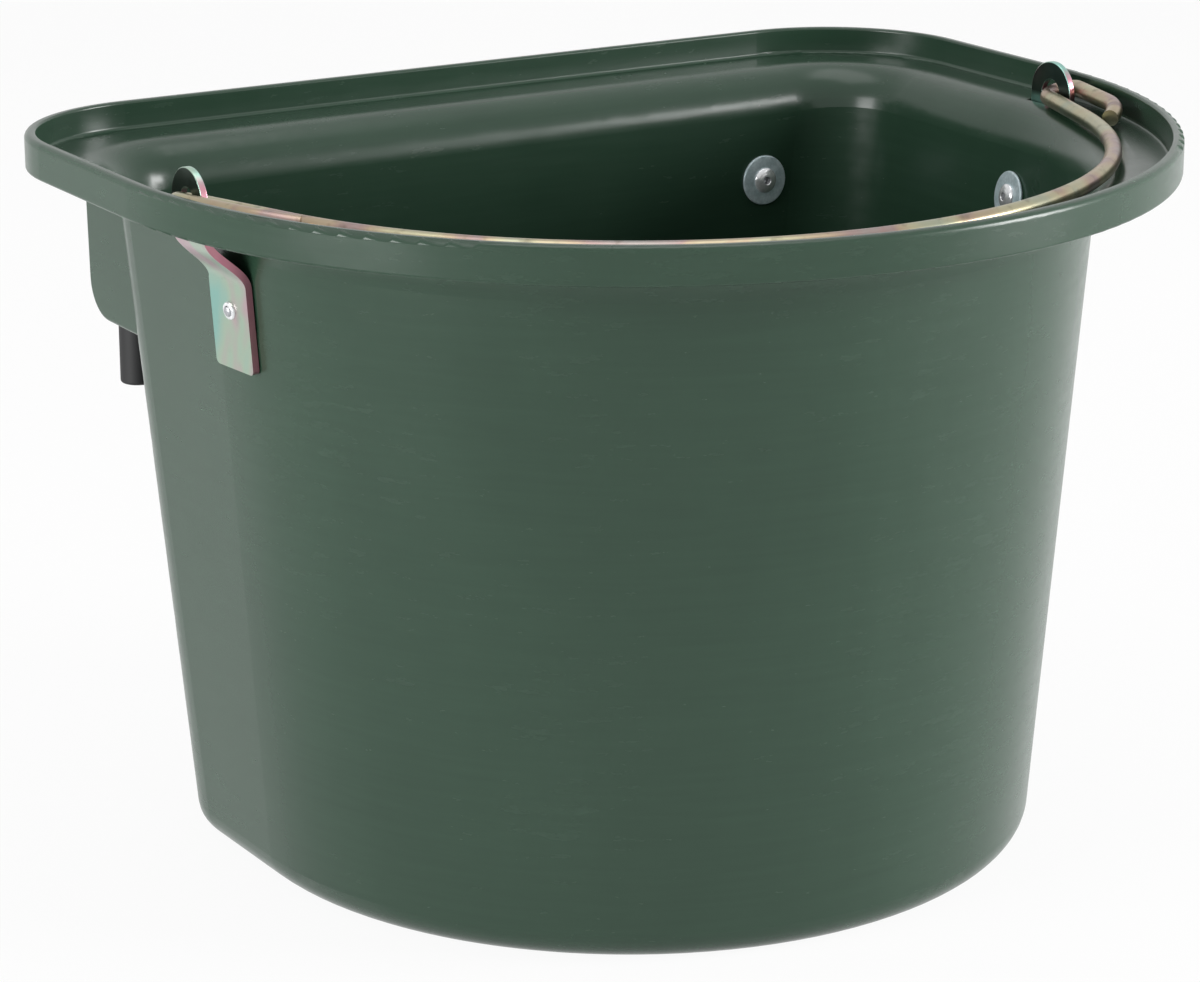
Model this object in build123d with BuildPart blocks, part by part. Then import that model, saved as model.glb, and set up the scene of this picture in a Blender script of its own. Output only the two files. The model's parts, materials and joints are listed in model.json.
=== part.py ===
# Hook-in feed manger, millimetres.
# Frame: the semicircular front is centred on x = y = 0, +X runs to the right along the flat back,
# +Y points to the flat back and +Z points up. The underside of the tub is at z = 0.
import math
import os
from build123d import *

os.makedirs("parts", exist_ok=True)

# tub wall, outside sizes
BASE_HALF_WIDTH = 151.0
BASE_BACK_Y = 90.0
BASE_CORNER_R = 40.0
TOP_HALF_WIDTH = 170.0
TOP_BACK_Y = 97.0
TOP_CORNER_R = 30.0
WALL = 2.8
FLOOR = 3.0
BASE_FILLET = 12.0

# rim with its upstanding lip
RIM_HALF_WIDTH = 200.0
RIM_BACK_Y = 131.5
RIM_CORNER_R = 59.0
RIM_UNDER_Z = 252.6
RIM_FLOOR_Z = 255.4
RIM_TOP_Z = 266.0
LIP = 4.2
SHOULDER_R = 17.0
UNDER_R = 14.0

# hollow stand-off hoods under the rear corners
HOOD_OUT_X = 160.0
HOOD_IN_X = 136.0
HOOD_BACK_Y = 125.0
HOOD_LOW_Z = 188.5
HOOD_LEAN = 2.8
HOOD_R = 15.0
HOOD_WALL = 2.5
HOOD_EDGE_R = 1.6

# ear brackets, bent from steel strip
STRIP_W = 24.0
STRIP_T = 2.5
STRIP_CORNER_R = 2.0
STRIP_BEND = 19.0
BEND_SECTIONS = 6
LAND_GAP = 0.02
EAR_X = 183.0
PIVOT_Y = -14.4
PIVOT_Z = 259.9
EAR_HOLE_R = 5.2
EAR_STRAIGHT_Z = 249.0
STRIP_LAND_Z = 230.5
STRIP_END_Z = 199.5
EAR_RIVET_Z = 221.0
SLOT_L = 27.0
SLOT_W = 4.6

# bail, formed from round wire
WIRE_R = 3.1
BOW_R = 175.0
BOW_DROP = 0.9
BOW_END_ANGLE = 18.0
INNER_LEG = 37.3
EYE_R = 6.2
EYE_TURN = 178.0
EYE_TILT = 14.0
OUTER_LEG = 28.2
CURL_R = 32.0
CURL_TURN = 40.0

# hanger hooks behind the back wall
HOOK_X = 122.0
HOOK_RIVET_Z = 212.7
ROD_R = 4.0
TAB_W = 20.0
TAB_T = 3.0
HOOK_BRIDGE_Z = 245.2
HOOK_LEG_Y = 164.9
HOOK_LEG_LOW_Z = 150.0
ROD_BEND_R = 12.0
LEG_BEND_R = 14.0
SLEEVE_R = 7.0
SLEEVE_BORE_R = 4.1
SLEEVE_START_Y = 114.0
SLEEVE_CAP = 3.0

# rivets and washers
RIVET_R = 2.4
RIVET_HOLE_R = 2.5
RIVET_HEAD_R = 5.0
RIVET_HEAD_H = 1.9
RIVET_TAIL_R = 3.3
RIVET_TAIL_H = 2.2
RIVET_BORE_R = 1.5
MANDREL_R = 1.45
WASHER_R = 10.0
WASHER_T = 1.3
SIDE_CURVE_GAP = 0.33

WALL_H = RIM_UNDER_Z
SIDE_TAPER = math.atan((TOP_HALF_WIDTH - BASE_HALF_WIDTH) / WALL_H)
BACK_TAPER = math.atan((TOP_BACK_Y - BASE_BACK_Y) / WALL_H)


def wall_sizes(z, inset):
    """Half width, back line and corner radius of the wall at a height."""
    k = z / WALL_H
    half = BASE_HALF_WIDTH + (TOP_HALF_WIDTH - BASE_HALF_WIDTH) * k - inset
    back = BASE_BACK_Y + (TOP_BACK_Y - BASE_BACK_Y) * k - inset
    corner = BASE_CORNER_R + (TOP_CORNER_R - BASE_CORNER_R) * k - inset
    return half, back, corner


def d_outline(half, back, corner):
    """A D: round at the front, straight sides, rounded rear corners."""
    q = corner * (1 - math.sqrt(0.5))
    with BuildLine() as line:
        Line((-half, 0), (-half, back - corner))
        ThreePointArc((-half, back - corner), (-half + q, back - q), (-half + corner, back))
        Line((-half + corner, back), (half - corner, back))
        ThreePointArc((half - corner, back), (half - q, back - q), (half, back - corner))
        Line((half, back - corner), (half, 0))
        ThreePointArc((half, 0), (0, -half), (-half, 0))
    return line


def d_face(z, half, back, corner):
    """The D as a face at a height."""
    with BuildSketch(Plane.XY.offset(z)) as face:
        outline = d_outline(half, back, corner)
        add(outline.line)
        make_face()
    return face.sketch


def local_frame(origin, sideways, outward):
    """A plane whose normal leaves the wall, with x along the wall."""
    return Plane(origin=origin, x_dir=sideways, z_dir=outward)


def turned(frame, points, label):
    """A solid of revolution about the frame's normal, from radius and height pairs."""
    axis_dir = frame.z_dir
    side = Plane(origin=frame.origin, x_dir=frame.x_dir, z_dir=frame.x_dir.cross(frame.z_dir))
    with BuildPart() as piece:
        with BuildSketch(side):
            with BuildLine():
                Polyline(points, close=True)
            make_face()
        revolve(axis=Axis(frame.origin, axis_dir))
    piece.part.label = label
    return piece


# where the fixings sit on the side wall and on the back wall
side_half_at_rivet = wall_sizes(EAR_RIVET_Z, 0)[0]
SIDE_ANGLE = math.asin(-PIVOT_Y / side_half_at_rivet)
side_out = Vector(math.cos(SIDE_ANGLE), -math.sin(SIDE_ANGLE), 0)
side_along = Vector(math.sin(SIDE_ANGLE), math.cos(SIDE_ANGLE), 0)
side_normal = side_out * math.cos(SIDE_TAPER) - Vector(0, 0, 1) * math.sin(SIDE_TAPER)
side_up = side_out * math.sin(SIDE_TAPER) + Vector(0, 0, 1) * math.cos(SIDE_TAPER)
side_point = side_out * side_half_at_rivet + Vector(0, 0, EAR_RIVET_Z)
side_frame = local_frame(side_point, side_along, side_normal)

back_at_rivet = wall_sizes(HOOK_RIVET_Z, 0)[1]
back_normal = Vector(0, math.cos(BACK_TAPER), -math.sin(BACK_TAPER))
back_frame = local_frame(Vector(HOOK_X, back_at_rivet, HOOK_RIVET_Z), Vector(-1, 0, 0), back_normal)
SIDE_WALL = WALL * math.cos(SIDE_TAPER)
BACK_WALL = WALL * math.cos(BACK_TAPER)

# the tub: wall, rim, shoulder, hoods, slots and fixing holes in one moulding
with BuildPart() as tub:
    add(d_face(0, *wall_sizes(0, 0)))
    add(d_face(WALL_H, *wall_sizes(WALL_H, 0)))
    loft(ruled=True)
    fillet(tub.edges().filter_by(lambda e: e.bounding_box().max.Z < 0.01), BASE_FILLET)
    add(d_face(RIM_UNDER_Z, RIM_HALF_WIDTH, RIM_BACK_Y, RIM_CORNER_R))
    extrude(amount=RIM_TOP_Z - RIM_UNDER_Z)
    under = tub.edges().filter_by(
        lambda e: abs(e.center().Z - RIM_UNDER_Z) < 0.01
        and e.bounding_box().max.X < TOP_HALF_WIDTH + 1
        and e.bounding_box().min.X > -TOP_HALF_WIDTH - 1
        and e.bounding_box().max.Y < TOP_BACK_Y + 1
        and e.bounding_box().min.Y > -TOP_HALF_WIDTH - 1
    )
    fillet(under, UNDER_R)
    low_outer = tub.edges().filter_by(
        lambda e: abs(e.center().Z - RIM_UNDER_Z) < 0.01 and abs(e.bounding_box().max.Z - RIM_UNDER_Z) < 0.01
    )
    fillet(low_outer, 1.2)

hood_top_z = RIM_FLOOR_Z - 1
with BuildPart() as hood:
    with BuildSketch(Plane.YZ.offset(HOOD_IN_X)) as hood_side:
        with BuildLine():
            Polyline((80, HOOD_LOW_Z), (80, hood_top_z), (HOOD_BACK_Y, hood_top_z),
                     (HOOD_BACK_Y - HOOD_LEAN, HOOD_LOW_Z), close=True)
        make_face()
        low_corner = hood_side.vertices().sort_by(Axis.X)[-2:].sort_by(Axis.Y)[0]
        fillet(low_corner, HOOD_R)
    extrude(amount=HOOD_OUT_X - HOOD_IN_X)
    back_edges = hood.edges().filter_by(lambda e: e.center().Y > HOOD_BACK_Y - HOOD_R)
    long_edges = back_edges.filter_by(lambda e: abs(e.bounding_box().size.X) < 0.01 and e.length > 5)
    fillet(long_edges, HOOD_EDGE_R)
    inner_low = HOOD_LOW_Z + HOOD_WALL
    inner_back = HOOD_BACK_Y - HOOD_LEAN - HOOD_WALL
    inner_r = HOOD_R - HOOD_WALL
    with BuildSketch(Plane.YZ.offset(HOOD_IN_X + HOOD_WALL)):
        with BuildLine():
            Polyline((inner_back - inner_r, HOOD_LOW_Z - 5), (70, HOOD_LOW_Z - 5), (70, hood_top_z - 4),
                     (inner_back, hood_top_z - 4), (inner_back, inner_low + inner_r))
            RadiusArc((inner_back, inner_low + inner_r), (inner_back - inner_r, inner_low), inner_r)
            Line((inner_back - inner_r, inner_low), (inner_back - inner_r, HOOD_LOW_Z - 5))
        make_face()
    extrude(amount=HOOD_OUT_X - HOOD_IN_X - 2 * HOOD_WALL, mode=Mode.SUBTRACT)

with BuildPart() as cavity:
    add(d_face(FLOOR, *wall_sizes(FLOOR, WALL)))
    add(d_face(300, *wall_sizes(300, WALL)))
    loft(ruled=True)
    fillet(cavity.edges().filter_by(lambda e: e.bounding_box().max.Z < FLOOR + 0.01), BASE_FILLET - 2.5)

with tub:
    add(hood.part)
    add(mirror(hood.part, about=Plane.YZ))
    add(cavity.part, mode=Mode.SUBTRACT)
    add(d_face(RIM_FLOOR_Z, RIM_HALF_WIDTH - LIP, RIM_BACK_Y - LIP, RIM_CORNER_R - LIP))
    extrude(amount=20, mode=Mode.SUBTRACT)
    shoulder = tub.edges().filter_by(
        lambda e: abs(e.center().Z - RIM_FLOOR_Z) < 0.01
        and abs(e.bounding_box().max.Z - e.bounding_box().min.Z) < 0.01
        and e.bounding_box().max.X < TOP_HALF_WIDTH + 1
        and e.bounding_box().min.X > -TOP_HALF_WIDTH - 1
        and e.bounding_box().max.Y < TOP_BACK_Y + 1
        and e.bounding_box().min.Y > -TOP_HALF_WIDTH - 1
    )
    fillet(shoulder, SHOULDER_R)
    foot = tub.edges().filter_by(
        lambda e: abs(e.center().Z - RIM_FLOOR_Z) < 0.01
        and (max(abs(e.bounding_box().min.X), e.bounding_box().max.X) > RIM_HALF_WIDTH - LIP - 1
             or e.bounding_box().max.Y > RIM_BACK_Y - LIP - 1)
    )
    fillet(foot, 1.5)
    top_edges = tub.edges().filter_by(lambda e: e.bounding_box().min.Z > RIM_TOP_Z - 0.01)
    outer_top = top_edges.filter_by(
        lambda e: max(abs(e.bounding_box().min.X), e.bounding_box().max.X) > RIM_HALF_WIDTH - 0.5
        or e.bounding_box().max.Y > RIM_BACK_Y - 0.5
    )
    fillet(outer_top, 2.2)
    inner_top = tub.edges().filter_by(lambda e: e.bounding_box().min.Z > RIM_TOP_Z - 0.01).filter_by(
        lambda e: max(abs(e.bounding_box().min.X), e.bounding_box().max.X) < RIM_HALF_WIDTH - 3.5
        and e.bounding_box().max.Y < RIM_BACK_Y - 3.5
    )
    fillet(inner_top, 1.0)
    with Locations((EAR_X, PIVOT_Y, 250), (-EAR_X, PIVOT_Y, 250)):
        Box(SLOT_W, SLOT_L, 24, mode=Mode.SUBTRACT)
    with BuildSketch(side_frame):
        Circle(RIVET_HOLE_R)
    extrude(amount=8, both=True, mode=Mode.SUBTRACT)
    with BuildSketch(back_frame):
        Circle(RIVET_HOLE_R)
    extrude(amount=8, both=True, mode=Mode.SUBTRACT)
    left_side = Plane(origin=(-side_point.X, side_point.Y, side_point.Z),
                      x_dir=(-side_along.X, side_along.Y, 0),
                      z_dir=(-side_normal.X, side_normal.Y, side_normal.Z))
    with BuildSketch(left_side):
        Circle(RIVET_HOLE_R)
    extrude(amount=8, both=True, mode=Mode.SUBTRACT)
    left_back = Plane(origin=(-HOOK_X, back_at_rivet, HOOK_RIVET_Z), x_dir=(1, 0, 0), z_dir=back_normal)
    with BuildSketch(left_back):
        Circle(RIVET_HOLE_R)
    extrude(amount=8, both=True, mode=Mode.SUBTRACT)
tub.part.label = "tub"
export_step(tub.part, "parts/tub.step")

# ear bracket: eye plate through the rim, jogged in and twisted to lie on the wall
strip_mid = side_point + side_normal * (LAND_GAP + STRIP_T / 2)
land_point = strip_mid + side_up * ((STRIP_LAND_Z - EAR_RIVET_Z) / math.cos(SIDE_TAPER))
end_point = strip_mid + side_up * ((STRIP_END_Z - EAR_RIVET_Z) / math.cos(SIDE_TAPER))
with BuildPart() as ear_bracket:
    with BuildSketch(Plane.YZ.offset(EAR_X - STRIP_T / 2)):
        with Locations((PIVOT_Y, (PIVOT_Z + EAR_STRAIGHT_Z) / 2)):
            Rectangle(STRIP_W, PIVOT_Z - EAR_STRAIGHT_Z)
        with Locations((PIVOT_Y, PIVOT_Z)):
            Circle(STRIP_W / 2)
            Circle(EAR_HOLE_R, mode=Mode.SUBTRACT)
    extrude(amount=STRIP_T)
    ear_edges = ear_bracket.edges().filter_by(GeomType.CIRCLE)
    fillet(ear_edges, 0.4)
    start = Vector(EAR_X, PIVOT_Y, EAR_STRAIGHT_Z)
    for i in range(BEND_SECTIONS + 1):
        t = i / BEND_SECTIONS
        ease = t * t * (3 - 2 * t)
        slope = 6 * t * (1 - t)
        spot = Vector(
            start.X + (land_point.X - start.X) * ease,
            start.Y + (land_point.Y - start.Y) * ease,
            start.Z + (land_point.Z - start.Z) * t,
        )
        heading = Vector(
            (land_point.X - start.X) * slope - side_up.X * t * STRIP_BEND,
            (land_point.Y - start.Y) * slope - side_up.Y * t * STRIP_BEND,
            land_point.Z - start.Z,
        )
        width_dir = Vector(side_along.X * t, side_along.Y * t + (1 - t), 0)
        normal = heading.normalized()
        if i == BEND_SECTIONS:
            normal = side_up * -1
            width_dir = side_along
        if i == 0:
            normal = Vector(0, 0, -1)
        across = width_dir - normal * width_dir.dot(normal)
        with BuildSketch(Plane(origin=spot, x_dir=across, z_dir=normal)):
            Rectangle(STRIP_W, STRIP_T)
    loft()
    with BuildSketch(Plane(origin=land_point, x_dir=side_along, z_dir=side_up * -1)):
        Rectangle(STRIP_W, STRIP_T)
    extrude(amount=(land_point - end_point).length)
    with BuildSketch(side_frame):
        Circle(RIVET_HOLE_R)
    extrude(amount=8, mode=Mode.SUBTRACT)
    corners = ear_bracket.edges().filter_by(
        lambda e: e.center().Z < STRIP_END_Z + 1 and abs(e.length - STRIP_T) < 0.1
    )
    fillet(corners, STRIP_CORNER_R)

# bail: round bow, straight legs, and at each end a long open eye hooked through the ear
end_angle = math.radians(BOW_END_ANGLE)
bow_z = PIVOT_Z - BOW_DROP
leg_dir = Vector(math.sin(end_angle), math.cos(end_angle), 0)
leg_start = Vector(BOW_R * math.cos(end_angle), -BOW_R * math.sin(end_angle), bow_z)
leg_end = leg_start + leg_dir * INNER_LEG
eye_tilt = math.radians(EYE_TILT)
eye_out = Vector(
    math.cos(end_angle) * math.cos(eye_tilt),
    -math.sin(end_angle) * math.cos(eye_tilt),
    math.sin(eye_tilt),
)


def eye_point(along, outward):
    """A point of the eye's plane, from the end of the inner leg."""
    return leg_end + leg_dir * along + eye_out * outward


def eye_arc(turn):
    """A point of the arc that passes through the ear."""
    angle = math.radians(turn)
    return eye_point(EYE_R * math.sin(angle), EYE_R * (1 - math.cos(angle)))


spread = math.radians(180 - EYE_TURN)
outer_start = eye_arc(EYE_TURN)
outer_end = outer_start - leg_dir * (OUTER_LEG * math.cos(spread)) + eye_out * (OUTER_LEG * math.sin(spread))


def curl_point(turn):
    """A point of the curl that closes the eye towards the inner leg."""
    angle = spread - math.radians(turn)
    back = CURL_R * (math.sin(angle) - math.sin(spread))
    inward = CURL_R * (math.cos(angle) - math.cos(spread))
    return outer_end + leg_dir * back + eye_out * inward


def flipped(point):
    """The same point on the left side."""
    return Vector(-point.X, point.Y, point.Z)


with BuildPart() as bail:
    with BuildLine() as wire_line:
        ThreePointArc(curl_point(CURL_TURN), curl_point(CURL_TURN / 2), outer_end)
        Line(outer_end, outer_start)
        ThreePointArc(outer_start, eye_arc(EYE_TURN / 2), leg_end)
        Line(leg_end, leg_start)
        ThreePointArc(leg_start, (0, -BOW_R, bow_z), flipped(leg_start))
        Line(flipped(leg_start), flipped(leg_end))
        ThreePointArc(flipped(leg_end), flipped(eye_arc(EYE_TURN / 2)), flipped(outer_start))
        Line(flipped(outer_start), flipped(outer_end))
        ThreePointArc(flipped(outer_end), flipped(curl_point(CURL_TURN / 2)), flipped(curl_point(CURL_TURN)))
    tip = wire_line.line % 0
    with BuildSketch(Plane(origin=wire_line.line @ 0, z_dir=tip)):
        Circle(WIRE_R)
    sweep(path=wire_line.line)
bail.part.label = "bail"
export_step(bail.part, "parts/bail.step")

# hanger hook: riveted tab, bent rod, leg
tab_low = HOOK_RIVET_Z - 14.0
tab_high = HOOK_RIVET_Z + 12.0
rod_y = wall_sizes(235, 0)[1] + ROD_R + 0.2
bend_in_y = rod_y + ROD_BEND_R
bend_out_y = HOOK_LEG_Y - LEG_BEND_R
rod_low_z = HOOK_BRIDGE_Z - ROD_BEND_R
bend_k = math.sqrt(0.5)
with BuildPart() as hanger_hook:
    with BuildSketch(back_frame):
        with Locations((0, (tab_high + tab_low) / 2 - HOOK_RIVET_Z)):
            RectangleRounded(TAB_W, tab_high - tab_low, 6)
    extrude(amount=TAB_T)
    top_of_tab = back_frame.from_local_coords(Vector(0, 6.0, TAB_T / 2))
    with BuildSketch(Plane(origin=top_of_tab, x_dir=(1, 0, 0), z_dir=(0, 0, 1))):
        RectangleRounded(14, TAB_T - 0.1, 1.2)
    with BuildSketch(Plane(origin=(HOOK_X, rod_y, rod_low_z), x_dir=(1, 0, 0), z_dir=(0, 0, 1))):
        Circle(ROD_R)
    loft()
    with BuildLine() as rod_path:
        ThreePointArc(
            (HOOK_X, rod_y, rod_low_z),
            (HOOK_X, bend_in_y - ROD_BEND_R * bend_k, rod_low_z + ROD_BEND_R * bend_k),
            (HOOK_X, bend_in_y, HOOK_BRIDGE_Z),
        )
        Line((HOOK_X, bend_in_y, HOOK_BRIDGE_Z), (HOOK_X, bend_out_y, HOOK_BRIDGE_Z))
        ThreePointArc(
            (HOOK_X, bend_out_y, HOOK_BRIDGE_Z),
            (HOOK_X, bend_out_y + LEG_BEND_R * bend_k, HOOK_BRIDGE_Z - LEG_BEND_R * (1 - bend_k)),
            (HOOK_X, HOOK_LEG_Y, HOOK_BRIDGE_Z - LEG_BEND_R),
        )
        Line((HOOK_X, HOOK_LEG_Y, HOOK_BRIDGE_Z - LEG_BEND_R), (HOOK_X, HOOK_LEG_Y, HOOK_LEG_LOW_Z))
    with BuildSketch(Plane(origin=(HOOK_X, rod_y, rod_low_z), x_dir=(1, 0, 0), z_dir=(0, 0, 1))):
        Circle(ROD_R)
    sweep(path=rod_path.line)
    with BuildSketch(back_frame):
        Circle(RIVET_HOLE_R)
    extrude(amount=8, mode=Mode.SUBTRACT)

# closed plastic sleeve over the hook's bridge and leg
with BuildPart() as hook_sleeve:
    with BuildLine() as sleeve_path:
        Line((HOOK_X, SLEEVE_START_Y, HOOK_BRIDGE_Z), (HOOK_X, bend_out_y, HOOK_BRIDGE_Z))
        ThreePointArc(
            (HOOK_X, bend_out_y, HOOK_BRIDGE_Z),
            (HOOK_X, bend_out_y + LEG_BEND_R * bend_k, HOOK_BRIDGE_Z - LEG_BEND_R * (1 - bend_k)),
            (HOOK_X, HOOK_LEG_Y, HOOK_BRIDGE_Z - LEG_BEND_R),
        )
        Line((HOOK_X, HOOK_LEG_Y, HOOK_BRIDGE_Z - LEG_BEND_R), (HOOK_X, HOOK_LEG_Y, HOOK_LEG_LOW_Z))
    with BuildSketch(Plane(origin=(HOOK_X, SLEEVE_START_Y, HOOK_BRIDGE_Z), x_dir=(1, 0, 0), z_dir=(0, 1, 0))):
        Circle(SLEEVE_R)
        Circle(SLEEVE_BORE_R, mode=Mode.SUBTRACT)
    sweep(path=sleeve_path.line)
    with BuildSketch(Plane(origin=(HOOK_X, HOOK_LEG_Y, HOOK_LEG_LOW_Z), x_dir=(1, 0, 0), z_dir=(0, 0, -1))):
        Circle(SLEEVE_R)
    extrude(amount=SLEEVE_CAP)
    fillet(hook_sleeve.edges().filter_by(
        lambda e: abs(e.center().Z - (HOOK_LEG_LOW_Z - SLEEVE_CAP)) < 0.01), 1.2)


def rivet_points(under_head, over_tail):
    """Blind rivet: domed head on the washer, tube, swollen tail outside."""
    top = under_head - RIVET_HEAD_H
    return [
        (RIVET_BORE_R, top),
        (2.8, top),
        (4.3, top + 0.7),
        (RIVET_HEAD_R, top + 1.5),
        (RIVET_HEAD_R, under_head),
        (RIVET_R, under_head),
        (RIVET_R, over_tail),
        (RIVET_TAIL_R - 0.3, over_tail),
        (RIVET_TAIL_R, over_tail + 0.6),
        (RIVET_TAIL_R - 0.4, over_tail + 1.7),
        (2.2, over_tail + RIVET_TAIL_H),
        (RIVET_BORE_R, over_tail + RIVET_TAIL_H),
    ]


def mandrel_points(under_head, over_tail):
    """Broken mandrel: stem in the rivet's bore, round head closing the tail."""
    end = over_tail + RIVET_TAIL_H
    return [
        (0, under_head + 0.6),
        (MANDREL_R, under_head + 0.6),
        (MANDREL_R, end),
        (2.0, end),
        (1.6, end + 0.5),
        (0.8, end + 0.8),
        (0, end + 0.9),
    ]


def washer_points(seat):
    """Flat washer with broken edges, its back on the seat height."""
    return [
        (2.6, seat),
        (WASHER_R - 0.2, seat),
        (WASHER_R, seat - 0.2),
        (WASHER_R, seat - WASHER_T + 0.3),
        (WASHER_R - 0.3, seat - WASHER_T),
        (2.6, seat - WASHER_T),
    ]


side_seat = -SIDE_WALL - SIDE_CURVE_GAP
side_head = side_seat - WASHER_T
side_tail = LAND_GAP + STRIP_T
back_seat = -BACK_WALL
back_head = back_seat - WASHER_T
back_tail = TAB_T
ear_rivet = turned(side_frame, rivet_points(side_head, side_tail), "ear_rivet_right")
ear_rivet_mandrel = turned(side_frame, mandrel_points(side_head, side_tail), "ear_rivet_mandrel_right")
ear_washer = turned(side_frame, washer_points(side_seat), "ear_washer_right")
back_rivet = turned(back_frame, rivet_points(back_head, back_tail), "back_rivet_right")
back_rivet_mandrel = turned(back_frame, mandrel_points(back_head, back_tail), "back_rivet_mandrel_right")
back_washer = turned(back_frame, washer_points(back_seat), "back_washer_right")

# every fixing exists once per side
pairs = {
    "ear_bracket": ear_bracket,
    "hanger_hook": hanger_hook,
    "hook_sleeve": hook_sleeve,
    "ear_rivet": ear_rivet,
    "ear_rivet_mandrel": ear_rivet_mandrel,
    "ear_washer": ear_washer,
    "back_rivet": back_rivet,
    "back_rivet_mandrel": back_rivet_mandrel,
    "back_washer": back_washer,
}
for name, piece in pairs.items():
    piece.part.label = name + "_right"
    export_step(piece.part, "parts/" + name + "_right.step")
    with BuildPart() as other:
        add(mirror(piece.part, about=Plane.YZ))
    other.part.label = name + "_left"
    export_step(other.part, "parts/" + name + "_left.step")
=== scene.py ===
import json
import math

import bmesh
import bpy
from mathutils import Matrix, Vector


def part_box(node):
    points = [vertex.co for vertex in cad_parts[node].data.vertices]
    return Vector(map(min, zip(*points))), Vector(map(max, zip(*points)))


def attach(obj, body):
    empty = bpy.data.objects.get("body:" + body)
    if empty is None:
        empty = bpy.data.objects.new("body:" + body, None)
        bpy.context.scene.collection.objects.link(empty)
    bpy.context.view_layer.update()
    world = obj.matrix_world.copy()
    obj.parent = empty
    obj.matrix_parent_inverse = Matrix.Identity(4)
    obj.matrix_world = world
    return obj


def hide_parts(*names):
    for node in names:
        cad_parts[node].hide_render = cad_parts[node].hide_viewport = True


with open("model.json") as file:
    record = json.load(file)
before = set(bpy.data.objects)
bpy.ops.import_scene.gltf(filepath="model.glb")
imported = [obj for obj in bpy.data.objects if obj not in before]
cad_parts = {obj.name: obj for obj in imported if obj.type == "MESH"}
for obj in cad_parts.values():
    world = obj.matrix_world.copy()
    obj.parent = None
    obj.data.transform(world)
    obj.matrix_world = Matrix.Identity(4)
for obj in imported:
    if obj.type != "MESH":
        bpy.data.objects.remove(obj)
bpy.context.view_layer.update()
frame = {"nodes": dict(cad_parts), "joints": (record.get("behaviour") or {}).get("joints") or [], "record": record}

# the camera, found from the rim's and the base's outlines: place and target in metres, sensor and lens in mm
CAMERA_PLACE = Vector((-0.7462, -1.1961, 0.5512))
CAMERA_TARGET = Vector((-0.0022, 0.016, 0.1217))
SENSOR_WIDTH = 36.0
LENS = 118.4

# the studio's lamps: name, place, target, width and height in metres, and watts
LAMPS = (
    ("left_panel", (-1.9, -0.15, 0.5), (0, 0, 0.13), 1.0, 1.0, 30.0),
    ("right_panel", (1.5, -1.25, 0.55), (0, 0, 0.13), 0.7, 1.0, 46.0),
    ("top_panel", (0.0, 0.2, 2.2), (0, 0, 0.2), 1.6, 1.2, 11.0),
)
WHITE = (1.0, 1.0, 1.0, 1.0)
SKY_LIGHT = 0.32
# how far the floor shows as pure white; the rest of it takes the object's shadow
FLOOR_GLOW = 0.93

# the floor, in metres: its half width, where it turns up behind, the turn's radius and the backdrop's top
FLOOR_HALF = 6.0
FLOOR_BACK = 2.6
FLOOR_TURN_R = 0.6
FLOOR_TURN_STEPS = 12
BACKDROP_TOP = 5.0

# the plated metal, in metres: the painted dark reflection on the ears' faces starts at this height, and the ear
# strips lie further than this distance from the middle, with the hooks nearer to it
EAR_REFLECTION_Z = 0.2575
STRIP_FROM_X = 0.148
MASK_FADE = 0.002

# the bail's wire, in metres: a round bow, straight legs and a long open eye at each end
WIRE_R = 0.0031
BOW_R = 0.175
BOW_DROP = 0.0009
BOW_END_ANGLE = math.radians(18.0)
INNER_LEG = 0.0373
EYE_R = 0.0062
EYE_TURN = math.radians(178.0)
EYE_TILT = math.radians(14.0)
OUTER_LEG = 0.0282
CURL_R = 0.032
CURL_TURN = math.radians(40.0)
# each cut end stands past the line by this share of the wire's radius and is this much thinner
WIRE_END_OVER = 0.12
WIRE_END_SCALE = 0.82
WIRE_SIDES = 28
WIRE_SHARP = math.radians(40)

# the washers, in metres: face, thickness, rolled edge, bore and the bore's worn edge
WASHER_R = 0.010
WASHER_T = 0.0013
WASHER_ROLL = WASHER_T * 0.42
WASHER_BORE_R = 0.0026
WASHER_BORE_EDGE = 0.0008

# the set rivets, in metres: domed head, tube, bore and swollen tail
RIVET_HEAD_R = 0.005
RIVET_HEAD_H = 0.0019
RIVET_HEAD_EDGE = 0.0004
RIVET_CROWN_R = 0.0022
RIVET_TUBE_R = 0.0024
RIVET_BORE_R = 0.0015
RIVET_BORE_EDGE = 0.0002
RIVET_TAIL_R = 0.0033
RIVET_TAIL_H = 0.0022
RIVET_TAIL_ROLL = 0.0006

# the broken mandrels, in metres: stem, the height of the fracture, and the head on the rivet's tail
MANDREL_R = 0.00145
MANDREL_BREAK = 0.0007
MANDREL_FULL = 0.0011
MANDREL_HEAD_R = 0.002
MANDREL_HEAD_H = 0.0009

# how finely the fixings are turned, and the angle past which their edges stay sharp
TURNED_SIDES = 48
TURNED_SHARP = math.radians(32)


def linear(*srgb):
    """Scene-linear RGBA from an sRGB colour of 0 to 255."""
    parts = [v / 255 for v in srgb]
    return tuple(v / 12.92 if v < 0.04045 else ((v + 0.055) / 1.055) ** 2.4 for v in parts) + (1.0,)


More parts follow.
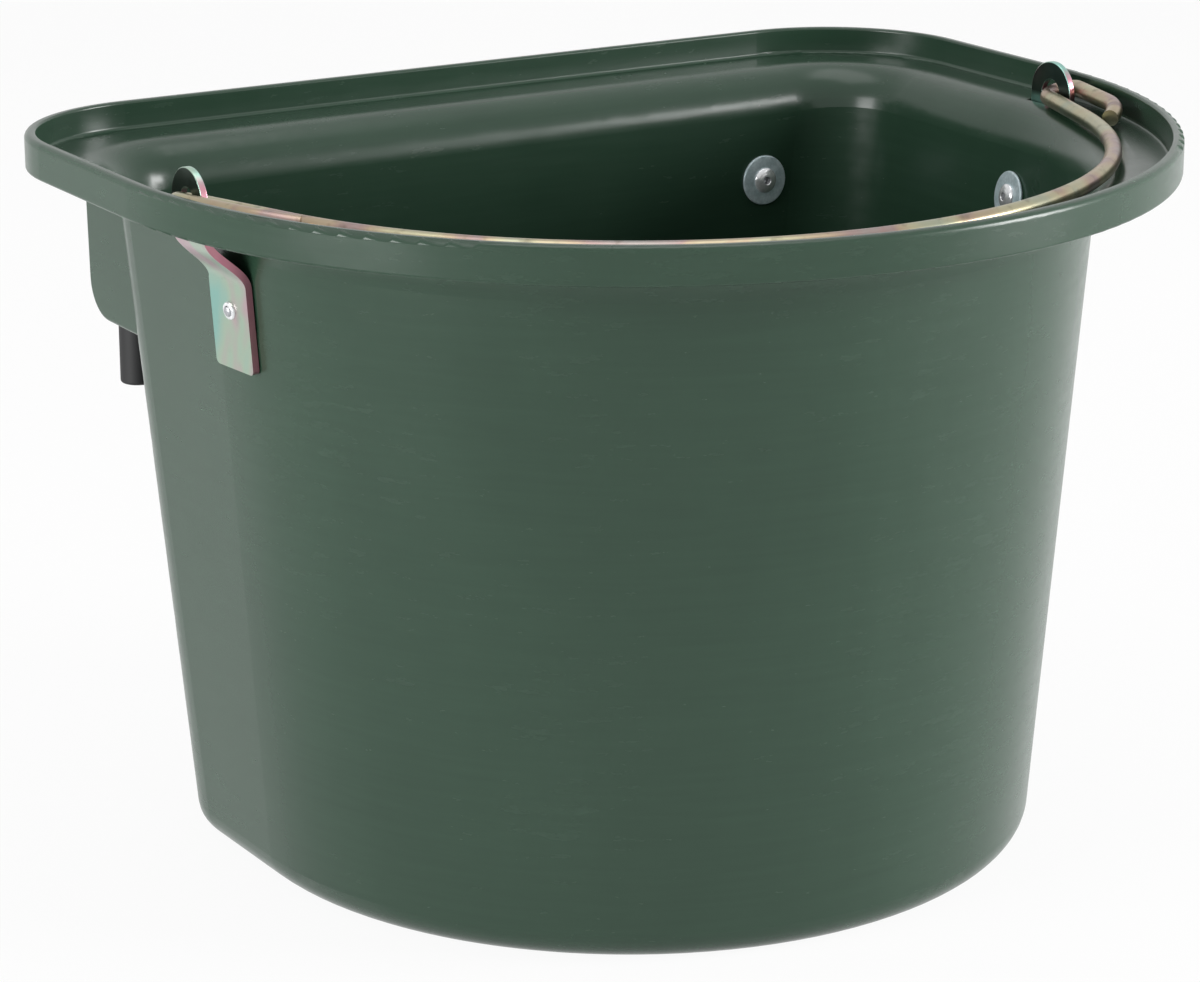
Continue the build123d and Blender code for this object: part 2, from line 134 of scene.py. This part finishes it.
class Wire:
    """A socket that adds Math nodes when it is used in an expression."""

    def __init__(self, tree, socket):
        self.tree = tree
        self.socket = socket

    def _math(self, operation, other, swap=False):
        first, second = (other, self) if swap else (self, other)
        return self.tree.make("ShaderNodeMath", {"operation": operation}, {0: first, 1: second})

    def __add__(self, other):
        return self._math("ADD", other)

    def __radd__(self, other):
        return self._math("ADD", other, True)

    def __sub__(self, other):
        return self._math("SUBTRACT", other)

    def __rsub__(self, other):
        return self._math("SUBTRACT", other, True)

    def __mul__(self, other):
        return self._math("MULTIPLY", other)

    def __rmul__(self, other):
        return self._math("MULTIPLY", other, True)

    def __gt__(self, other):
        return self._math("GREATER_THAN", other)

    def __abs__(self):
        return self.tree.make("ShaderNodeMath", {"operation": "ABSOLUTE"}, {0: self})

    def clamp(self, low, high):
        """Maps low to 0 and high to 1, and holds the ends."""
        return self.tree.make("ShaderNodeMapRange", {"clamp": True}, {0: self, 1: low, 2: high})

    def beside(self, output):
        """Another output of the same node."""
        return Wire(self.tree, self.socket.node.outputs[output])


class Finish:
    """One material and the nodes that make it."""

    def __init__(self, name):
        self.material = bpy.data.materials.new(name)
        self.material.use_nodes = True
        self.nodes = self.material.node_tree.nodes
        self.links = self.material.node_tree.links
        self.shader = self.nodes["Principled BSDF"]

    def make(self, kind, settings=None, inputs=None, output=0):
        """A node with its settings, then its inputs; returns one of its outputs."""
        node = self.nodes.new(kind)
        for key, value in (settings or {}).items():
            if key == "stops":
                self._stops(node, value)
            else:
                setattr(node, key, value)
        for key, value in (inputs or {}).items():
            self._feed(node.inputs[key], value)
        return Wire(self, node.outputs[output])

    def _stops(self, node, stops):
        ramp = node.color_ramp
        while len(ramp.elements) < len(stops):
            ramp.elements.new(0.5)
        for element, (place, colour) in zip(ramp.elements, stops):
            element.position = place
            element.color = colour

    def _feed(self, socket, value):
        if isinstance(value, Wire):
            self.links.new(value.socket, socket)
        else:
            socket.default_value = value

    def place(self):
        """The point's place on the object, in metres."""
        return self.make("ShaderNodeTexCoord", output="Object")

    def stretched(self, scale):
        """Object coordinates scaled on each axis."""
        return self.make("ShaderNodeMapping", {}, {"Vector": self.place(), "Scale": scale})

    def along(self, vector, axis):
        """A vector's part along X, Y or Z."""
        return self.make("ShaderNodeSeparateXYZ", {}, {0: vector}, output=axis)

    def noise(self, scale, detail=3.0, rough=0.5, where=None, distortion=0.0):
        return self.make("ShaderNodeTexNoise", {}, {
            "Vector": where or self.place(), "Scale": scale, "Detail": detail, "Roughness": rough,
            "Distortion": distortion})

    def blend(self, factor, first, second):
        """Mixes two colours."""
        return self.make("ShaderNodeMix", {"data_type": "RGBA"}, {0: factor, 6: first, 7: second}, output=2)

    def ramp(self, factor, stops):
        """A colour that follows a value from stop to stop."""
        return self.make("ShaderNodeValToRGB", {"stops": stops}, {0: factor})

    def bump(self, height, distance, strength=1.0, below=None):
        inputs = {"Height": height, "Distance": distance, "Strength": strength}
        if below is not None:
            inputs["Normal"] = below
        return self.make("ShaderNodeBump", {}, inputs)

    def set(self, **values):
        """Feeds the shader's sockets; a name's underscores stand for spaces."""
        for key, value in values.items():
            self._feed(self.shader.inputs[key.replace("_", " ")], value)
        return self


def moulded_plastic():
    """Dark green polyethylene: soft gloss, faint flow marks, fine rubs and a few pale flecks."""
    f = Finish("moulded_green_plastic")
    cloud = f.noise(7.0, 3.0, 0.6)
    flow = f.noise(11.0, 4.0, 0.6, f.stretched((1.0, 1.0, 0.18)), 0.8)
    level = f.noise(90.0, 3.0, 0.55, f.stretched((0.25, 0.25, 5.0)))
    tone = cloud * 0.4 + flow * 0.35 + level * 0.25
    green = f.ramp(tone, [
        (0.30, linear(36, 59, 45)),
        (0.50, linear(41, 65, 50)),
        (0.70, linear(47, 71, 56)),
    ])
    cells = f.make("ShaderNodeTexVoronoi", {}, {"Vector": f.stretched((1.0, 1.0, 0.45)), "Scale": 26.0})
    cell = cells.beside("Position")
    pick = f.make("ShaderNodeTexWhiteNoise", {"noise_dimensions": "3D"}, {"Vector": cell})
    fleck = (1 - cells.clamp(0.015, 0.034)) * (pick > 0.985)
    rub = f.noise(70.0, 4.0, 0.65, f.stretched((1.0, 1.0, 4.0)))
    haze = rub.clamp(0.60, 0.74) * cloud.clamp(0.45, 0.6)
    colour = f.blend(haze * 0.05, green, linear(126, 146, 136))
    colour = f.blend(fleck * 0.85, colour, linear(176, 198, 190))
    fine = f.noise(1100.0, 2.0)
    wave = f.noise(16.0, 2.0)
    rough = 0.15 + rub * 0.13 + cloud * 0.08
    normal = f.bump(wave, 0.0006, 0.3)
    normal = f.bump(fine, 0.000018, 0.3, normal)
    return f.set(Base_Color=colour, Roughness=rough, Normal=normal, IOR=1.5, Specular_IOR_Level=0.4).material


def passivate_hues(f, film):
    """Yellow passivate: pale green, cream, pink and cyan, by the film's thickness."""
    return f.ramp(film, [
        (0.20, linear(130, 180, 172)),
        (0.40, linear(142, 186, 176)),
        (0.48, linear(168, 186, 168)),
        (0.55, linear(188, 160, 168)),
        (0.60, linear(150, 176, 178)),
        (0.80, linear(130, 182, 180)),
    ])


def strip_zinc():
    """Plated strip and hook: pale green faces, pink sheared strip edges, blotches, and a painted dark reflection
    on the ear faces.
    """
    f = Finish("strip_yellow_zinc")
    film = f.noise(16.0, 3.0, 0.5, f.stretched((1.0, 1.0, 0.6)), 0.7)
    face = passivate_hues(f, film)
    grain = f.noise(420.0, 3.0)
    blotch = f.noise(120.0, 3.0)
    place = f.place()
    normal = f.make("ShaderNodeNewGeometry", output="Normal")
    on_strip = abs(f.along(place, "X")).clamp(STRIP_FROM_X, STRIP_FROM_X + 2 * MASK_FADE)
    edge = abs(f.along(normal, "Y")).clamp(0.5, 0.85) * on_strip
    hue = f.blend(edge * 0.8, face, linear(206, 126, 148))
    hue = f.blend(blotch.clamp(0.62, 0.75) * 0.3, hue, linear(104, 126, 118))
    # painted dark reflection: the sideways-facing ear faces above the rim are blended towards a near-black grey
    above_rim = f.along(place, "Z").clamp(EAR_REFLECTION_Z, EAR_REFLECTION_Z + MASK_FADE)
    painted_ear_reflection = abs(f.along(normal, "X")).clamp(0.90, 0.98) * above_rim
    hue = f.blend(painted_ear_reflection * 0.88, hue, linear(58, 64, 60))
    rough = 0.24 + grain * 0.16
    return f.set(Base_Color=hue, Metallic=1.0, Roughness=rough, Normal=f.bump(grain, 0.00003, 0.4)).material


def wire_zinc():
    """Plated wire: cream and pink streaks along it, duller where it rubs."""
    f = Finish("wire_yellow_zinc")
    film = f.noise(26.0, 3.0, 0.5, f.place(), 0.8)
    hue = f.ramp(film, [
        (0.25, linear(148, 156, 140)),
        (0.42, linear(168, 162, 134)),
        (0.52, linear(164, 146, 124)),
        (0.58, linear(150, 128, 124)),
        (0.75, linear(140, 150, 144)),
    ])
    rub = f.noise(180.0, 3.0)
    hue = f.blend(rub.clamp(0.56, 0.72) * 0.5, hue, linear(92, 84, 72))
    rough = 0.24 + rub * 0.20
    return f.set(Base_Color=hue, Metallic=1.0, Roughness=rough, Normal=f.bump(rub, 0.00005, 0.5)).material


def bright_zinc():
    """Blue-grey bright zinc plate with faint spangles."""
    f = Finish("bright_zinc")
    cloud = f.noise(260.0, 2.0)
    spangle = f.make("ShaderNodeTexVoronoi", {}, {"Vector": f.place(), "Scale": 900.0})
    hue = f.ramp(cloud, [(0.3, linear(176, 196, 200)), (0.7, linear(208, 222, 226))])
    hue = f.blend(spangle.clamp(0.3, 0.7) * 0.2, hue, linear(122, 138, 148))
    rough = 0.28 + cloud * 0.18
    return f.set(Base_Color=hue, Metallic=0.25, Roughness=rough, Normal=f.bump(cloud, 0.00002, 0.4)).material


def bright_aluminium():
    """Set rivet, bright with fine drawing marks."""
    f = Finish("bright_aluminium")
    marks = f.noise(700.0, 2.0)
    hue = f.ramp(marks, [(0.3, linear(212, 214, 216)), (0.7, linear(240, 241, 243))])
    rough = 0.16 + marks * 0.14
    return f.set(Base_Color=hue, Metallic=0.6, Roughness=rough, Normal=f.bump(marks, 0.00002, 0.3)).material


def plain_steel():
    """Broken mandrel, grey, with a rough fracture."""
    f = Finish("drawn_steel")
    marks = f.noise(900.0, 4.0)
    hue = f.ramp(marks, [(0.3, linear(150, 152, 156)), (0.7, linear(196, 197, 200))])
    rough = 0.3 + marks * 0.2
    return f.set(Base_Color=hue, Metallic=1.0, Roughness=rough, Normal=f.bump(marks, 0.0001, 0.6)).material


def black_sleeve():
    """Black extruded plastic sleeve, matte with faint lengthwise lines."""
    f = Finish("black_sleeve_plastic")
    lines = f.noise(500.0, 2.0, 0.5, f.stretched((1.0, 1.0, 0.04)))
    hue = f.ramp(lines, [(0.3, linear(9, 10, 11)), (0.7, linear(17, 18, 20))])
    return f.set(Base_Color=hue, Roughness=0.5 + lines * 0.15, Normal=f.bump(lines, 0.00004, 0.4)).material


finishes = {
    "tub": moulded_plastic(),
    "yellow_zinc": strip_zinc(),
    "washer": bright_zinc(),
    "rivet": bright_aluminium(),
    "mandrel": plain_steel(),
    "sleeve": black_sleeve(),
}
bail_finish = wire_zinc()
slot_of = {row["node"]: row["material_slot"] for row in frame["record"]["subparts"]}
for node_name, node in frame["nodes"].items():
    node.data.materials.clear()
    node.data.materials.append(finishes[slot_of[node_name]])


class Maker:
    """A geometry node tree with named inputs."""

    def __init__(self, name, sizes):
        self.tree = bpy.data.node_groups.new(name, "GeometryNodeTree")
        sockets = self.tree.interface
        sockets.new_socket("Geometry", in_out="INPUT", socket_type="NodeSocketGeometry")
        self.sizes = {}
        for label, value in sizes.items():
            size = sockets.new_socket(label, in_out="INPUT", socket_type="NodeSocketFloat")
            self.sizes[size.identifier] = value
        sockets.new_socket("Geometry", in_out="OUTPUT", socket_type="NodeSocketGeometry")
        self.given = self.tree.nodes.new("NodeGroupInput").outputs
        self.result = self.tree.nodes.new("NodeGroupOutput").inputs

    def node(self, kind, settings=None, inputs=None, output=0):
        """Adds a node, sets it, feeds it and returns one of its outputs."""
        node = self.tree.nodes.new(kind)
        for key, value in (settings or {}).items():
            setattr(node, key, value)
        for key, value in (inputs or {}).items():
            if isinstance(value, bpy.types.NodeSocket):
                self.tree.links.new(value, node.inputs[key])
            else:
                node.inputs[key].default_value = value
        return node.outputs[output]

    def finish(self, geometry, material):
        """Realizes the instances and gives the surface its material."""
        solid = self.node("GeometryNodeRealizeInstances", {}, {0: geometry})
        smooth = self.node("GeometryNodeSetShadeSmooth", {}, {0: solid})
        coated = self.node("GeometryNodeSetMaterial", {}, {0: smooth, 2: material})
        self.tree.links.new(coated, self.result[0])

    def applied(self, name, mesh, sharp):
        """Runs the tree on a mesh of points and returns the result as a plain piece."""
        carrier = bpy.data.objects.new(name + "_points", mesh)
        bpy.context.scene.collection.objects.link(carrier)
        modifier = carrier.modifiers.new(name, "NODES")
        modifier.node_group = self.tree
        for identifier, value in self.sizes.items():
            modifier[identifier] = value
        graph = bpy.context.evaluated_depsgraph_get()
        result = bpy.data.meshes.new_from_object(carrier.evaluated_get(graph), depsgraph=graph)
        carrier.modifiers.clear()
        bpy.data.objects.remove(carrier)
        result.set_sharp_from_angle(angle=sharp)
        piece = bpy.data.objects.new(name, result)
        bpy.context.scene.collection.objects.link(piece)
        return piece


def angles(start, end, steps):
    """Evenly spaced angles from start to end, both included."""
    return [start + (end - start) * i / steps for i in range(steps + 1)]


def arc(centre, first, second, start, end, steps):
    """Points of an arc in the plane of two directions that carry its radius."""
    return [centre + first * math.cos(t) + second * math.sin(t) for t in angles(start, end, steps)]


def between(first, second, parts=6):
    """The points that divide a straight run into equal parts, without its ends."""
    return [first.lerp(second, i / parts) for i in range(1, parts)]


def wire_line():
    """The right half of the bail's centre line, from the curled tip to the middle of the bow."""
    swing = next(joint for joint in frame["joints"] if joint["name"] == "bail_swing")
    height = swing["pos_m"][2] - BOW_DROP
    along = Vector((math.sin(BOW_END_ANGLE), math.cos(BOW_END_ANGLE), 0))
    flat = Vector((math.cos(BOW_END_ANGLE), -math.sin(BOW_END_ANGLE), 0))
    outward = flat * math.cos(EYE_TILT) + Vector((0, 0, math.sin(EYE_TILT)))
    leg_start = flat * BOW_R + Vector((0, 0, height))
    leg_end = leg_start + along * INNER_LEG
    spread = math.pi - EYE_TURN
    eye = arc(leg_end + outward * EYE_R, outward * -EYE_R, along * EYE_R, 0, EYE_TURN, 28)
    outer_start = eye[-1]
    run = along * -math.cos(spread) + outward * math.sin(spread)
    outer_end = outer_start + run * OUTER_LEG
    side = outward * math.cos(spread) + along * math.sin(spread)
    curl = arc(outer_end - side * CURL_R, side * CURL_R, run * CURL_R, 0, CURL_TURN, 18)
    bow = arc(Vector((0, 0, height)), Vector((0, -BOW_R, 0)), Vector((BOW_R, 0, 0)),
              0, math.pi / 2 - BOW_END_ANGLE, 56)
    straight = between(leg_start, leg_end)
    outer = between(outer_start, outer_end)
    return curl[::-1] + outer[::-1] + eye[::-1] + straight[::-1] + bow[::-1]


def wire_bail():
    """Round wire swept along the bail's line, with broken edges at its cut ends."""
    right = wire_line()
    points = right + [Vector((-p.x, p.y, p.z)) for p in right[-2::-1]]
    first = (points[0] - points[1]).normalized()
    last = (points[-1] - points[-2]).normalized()
    over = WIRE_R * WIRE_END_OVER
    points = [points[0] + first * over] + points + [points[-1] + last * over]
    mesh = bpy.data.meshes.new("bail_line")
    mesh.from_pydata(points, [(i, i + 1) for i in range(len(points) - 1)], [])
    thickness = mesh.attributes.new("thickness", "FLOAT", "POINT")
    ends = (0, len(points) - 1)
    for i in range(len(points)):
        thickness.data[i].value = WIRE_END_SCALE if i in ends else 1.0
    m = Maker("wire_along_line", {"Wire radius": WIRE_R})
    line = m.node("GeometryNodeMeshToCurve", {}, {0: m.given["Geometry"]})
    scale = m.node("GeometryNodeInputNamedAttribute", {"data_type": "FLOAT"}, {"Name": "thickness"})
    line = m.node("GeometryNodeSetCurveRadius", {}, {"Curve": line, "Radius": scale})
    round_wire = {"Resolution": WIRE_SIDES, "Radius": m.given["Wire radius"]}
    ring = m.node("GeometryNodeCurvePrimitiveCircle", {}, round_wire)
    wire = m.node("GeometryNodeCurveToMesh", {}, {"Curve": line, "Profile Curve": ring, "Fill Caps": True})
    m.finish(wire, bail_finish)
    piece = m.applied("formed_wire_bail", mesh, WIRE_SHARP)
    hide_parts("bail")
    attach(piece, "bail")


def middle(node_name):
    """The centre of a node's box."""
    low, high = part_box(node_name)
    return (Vector(low) + Vector(high)) / 2


def turned_mesh(name, profile, has_bore):
    """A solid of revolution about Z from radius and height pairs, round a bore or capped at its ends."""
    sides = TURNED_SIDES
    verts = []
    for r, h in profile:
        verts += [(r * math.cos(a), r * math.sin(a), h)
                  for a in [2 * math.pi * k / sides for k in range(sides)]]
    rings = len(profile)
    bands = rings if has_bore else rings - 1
    faces = []
    for i in range(bands):
        here = i * sides
        there = (i + 1) % rings * sides
        for k in range(sides):
            after = (k + 1) % sides
            faces.append((here + k, here + after, there + after, there + k))
    if not has_bore:
        faces.append(tuple(range(sides))[::-1])
        faces.append(tuple(range((rings - 1) * sides, rings * sides)))
    mesh = bpy.data.meshes.new(name)
    mesh.from_pydata(verts, [], faces)
    work = bmesh.new()
    work.from_mesh(mesh)
    bmesh.ops.recalc_face_normals(work, faces=work.faces)
    work.to_mesh(mesh)
    work.free()
    return mesh


def washer_profile():
    """A flat washer with rolled edges; its seat is at height 0 and its face at -WASHER_T."""
    half = WASHER_T / 2
    rolled = [(WASHER_R - WASHER_ROLL + WASHER_ROLL * math.cos(t), -half + half * math.sin(t))
              for t in angles(math.pi / 2, -math.pi / 2, 8)]
    worn_edge = [(WASHER_BORE_R + WASHER_BORE_EDGE, -WASHER_T), (WASHER_BORE_R, -WASHER_T * 0.8)]
    return [(WASHER_BORE_R, 0.0)] + rolled + worn_edge


def rivet_profile(grip):
    """A set blind rivet: domed head under height 0, tube, swollen tail above the grip."""
    bore = [
        (RIVET_BORE_R, -RIVET_HEAD_H + RIVET_BORE_EDGE),
        (RIVET_BORE_R + RIVET_BORE_EDGE, -RIVET_HEAD_H),
        (RIVET_CROWN_R, -RIVET_HEAD_H),
    ]
    rise = RIVET_HEAD_H - RIVET_HEAD_EDGE
    dome = [(RIVET_HEAD_R * math.cos(t), -RIVET_HEAD_EDGE - rise * math.sin(t))
            for t in angles(math.radians(56), 0, 7)]
    tube = [(RIVET_HEAD_R, 0.0), (RIVET_TUBE_R, 0.0), (RIVET_TUBE_R, grip)]
    half = RIVET_TAIL_H / 2
    neck = RIVET_TAIL_R - RIVET_TAIL_ROLL
    tail = [(neck + RIVET_TAIL_ROLL * math.cos(t), grip + half + half * math.sin(t))
            for t in angles(-math.pi / 2, math.pi / 2, 8)]
    return bore + dome + tube + tail + [(RIVET_BORE_R, grip + RIVET_TAIL_H)]


def mandrel_profile(grip):
    """The broken stem in the bore and its round head on the tail."""
    top = grip + RIVET_TAIL_H
    stem = [(MANDREL_R * 0.7, MANDREL_BREAK), (MANDREL_R, MANDREL_FULL), (MANDREL_R, top)]
    head = [(MANDREL_HEAD_R * math.cos(t), top + MANDREL_HEAD_H * math.sin(t))
            for t in angles(0, math.radians(75), 5)]
    return stem + head


def fixings(name, shape, nodes, places, material):
    """One shape set on every place of its kind, each turned to face out of its wall."""
    mesh = bpy.data.meshes.new(name + "_places")
    mesh.from_pydata([place for place, outward in places], [], [])
    facing = mesh.attributes.new("facing", "FLOAT_VECTOR", "POINT")
    for i, (place, outward) in enumerate(places):
        facing.data[i].vector = outward
    pattern = bpy.data.objects.new(name + "_pattern", shape)
    bpy.context.scene.collection.objects.link(pattern)
    m = Maker(name + "_on_walls", {"Size": 1.0})
    outward = m.node("GeometryNodeInputNamedAttribute", {"data_type": "FLOAT_VECTOR"}, {"Name": "facing"})
    turn = m.node("FunctionNodeAlignRotationToVector", {"axis": "Z"}, {"Vector": outward})
    source = m.node("GeometryNodeObjectInfo", {}, {"Object": pattern}, output=4)
    copies = m.node("GeometryNodeInstanceOnPoints", {}, {
        "Points": m.given["Geometry"], "Instance": source, "Rotation": turn, "Scale": m.given["Size"]})
    m.finish(copies, material)
    piece = m.applied(name, mesh, TURNED_SHARP)
    bpy.data.objects.remove(pattern)
    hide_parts(*nodes)
    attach(piece, "manger")


def rivet_length(node_name, line):
    """A set rivet's length along its own line, from the box that it fills when it leans."""
    low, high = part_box(node_name)
    reach = Vector(high) - Vector(low)
    main = max(range(3), key=lambda i: abs(line[i]))
    head_share = 2 * RIVET_HEAD_R * math.sqrt(1 - line[main] ** 2)
    return (reach[main] - head_share) / abs(line[main])


def all_fixings():
    """Washers, rivets and mandrels, in pairs on the ear strips and on the hanger hooks."""
    sides = ("left", "right")
    half = WASHER_T / 2
    for where in ("ear", "back"):
        seats = []
        for side in sides:
            washer = middle(f"{where}_washer_{side}")
            outward = (middle(f"{where}_rivet_mandrel_{side}") - washer).normalized()
            seats.append((washer, outward))
        grip = rivet_length(f"{where}_rivet_right", seats[1][1]) - RIVET_HEAD_H - RIVET_TAIL_H
        on_seat = [(place + outward * half, outward) for place, outward in seats]
        on_face = [(place - outward * half, outward) for place, outward in seats]
        for kind, shape, places in (
            ("washer", turned_mesh("washer_shape", washer_profile(), True), on_seat),
            ("rivet", turned_mesh("rivet_shape", rivet_profile(grip), True), on_face),
            ("rivet_mandrel", turned_mesh("mandrel_shape", mandrel_profile(grip), False), on_face),
        ):
            nodes = [f"{where}_{kind}_{side}" for side in sides]
            slot = slot_of[nodes[0]]
            fixings(f"{where}_{kind}s", shape, nodes, places, finishes[slot])


wire_bail()
all_fixings()


def look_at(thing, place, target):
    """Stands a camera or lamp at a place, pointing at a target."""
    thing.location = place
    thing.rotation_euler = (Vector(target) - Vector(place)).to_track_quat("-Z", "Y").to_euler()


def camera():
    """The camera at the photograph's viewing angle."""
    data = bpy.data.cameras.new("camera")
    data.sensor_width = SENSOR_WIDTH
    data.lens = LENS
    eye = bpy.data.objects.new("camera", data)
    bpy.context.scene.collection.objects.link(eye)
    look_at(eye, CAMERA_PLACE, CAMERA_TARGET)
    bpy.context.scene.camera = eye


def softbox(name, place, target, width, height, watts):
    """A rectangular area lamp."""
    data = bpy.data.lights.new(name, "AREA")
    data.shape = "RECTANGLE"
    data.size = width
    data.size_y = height
    data.energy = watts
    lamp = bpy.data.objects.new(name, data)
    bpy.context.scene.collection.objects.link(lamp)
    look_at(lamp, place, target)


def background_rays(nodes, links):
    """1 for camera, glossy and transmission rays, which show the white background."""
    path = nodes.new("ShaderNodeLightPath")
    total = path.outputs["Is Camera Ray"]
    for kind in ("Is Glossy Ray", "Is Transmission Ray"):
        either = nodes.new("ShaderNodeMath")
        either.operation = "MAXIMUM"
        links.new(total, either.inputs[0])
        links.new(path.outputs[kind], either.inputs[1])
        total = either.outputs[0]
    return total


def pale_stage():
    """A seamless pale floor that turns up into a backdrop far behind."""
    mesh = bpy.data.meshes.new("studio_floor")
    profile = [(-FLOOR_HALF, 0.0)]
    profile += [(FLOOR_BACK + FLOOR_TURN_R * math.sin(a), FLOOR_TURN_R * (1 - math.cos(a)))
                for a in angles(0, math.pi / 2, FLOOR_TURN_STEPS)]
    profile += [(FLOOR_BACK + FLOOR_TURN_R, BACKDROP_TOP)]
    verts = [(x, y, z) for y, z in profile for x in (-FLOOR_HALF, FLOOR_HALF)]
    faces = [(2 * i, 2 * i + 1, 2 * i + 3, 2 * i + 2) for i in range(len(profile) - 1)]
    mesh.from_pydata(verts, [], faces)
    floor = bpy.data.objects.new("studio_floor", mesh)
    bpy.context.scene.collection.objects.link(floor)
    for face in mesh.polygons:
        face.use_smooth = True
    f = Finish("studio_paper")
    cloud = f.noise(1.5, 2.0)
    tone = f.ramp(cloud, [(0.3, (0.84, 0.84, 0.84, 1.0)), (0.7, (0.88, 0.88, 0.88, 1.0))])
    f.set(Base_Color=tone, Roughness=0.9)
    glow = f.make("ShaderNodeEmission", {}, {"Color": WHITE, "Strength": 1.0})
    share = Wire(f, background_rays(f.nodes, f.links)) * FLOOR_GLOW
    mixed = f.make("ShaderNodeMixShader", {}, {0: share, 1: Wire(f, f.shader.outputs[0]), 2: glow})
    f.links.new(mixed.socket, f.nodes["Material Output"].inputs["Surface"])
    mesh.materials.append(f.material)


def studio():
    """A plain sky that shows white but lights softly, and the softboxes."""
    world = bpy.data.worlds.new("studio")
    bpy.context.scene.world = world
    world.use_nodes = True
    nodes = world.node_tree.nodes
    links = world.node_tree.links
    nodes.clear()
    seen = nodes.new("ShaderNodeBackground")
    seen.inputs["Color"].default_value = WHITE
    light = nodes.new("ShaderNodeBackground")
    light.inputs["Color"].default_value = WHITE
    light.inputs["Strength"].default_value = SKY_LIGHT
    mix = nodes.new("ShaderNodeMixShader")
    out = nodes.new("ShaderNodeOutputWorld")
    links.new(background_rays(nodes, links), mix.inputs[0])
    links.new(light.outputs[0], mix.inputs[1])
    links.new(seen.outputs[0], mix.inputs[2])
    links.new(mix.outputs[0], out.inputs[0])
    for lamp in LAMPS:
        softbox(*lamp)


camera()
pale_stage()
studio()
bpy.context.scene.view_settings.view_transform = "Standard"

bpy.context.view_layer.update()
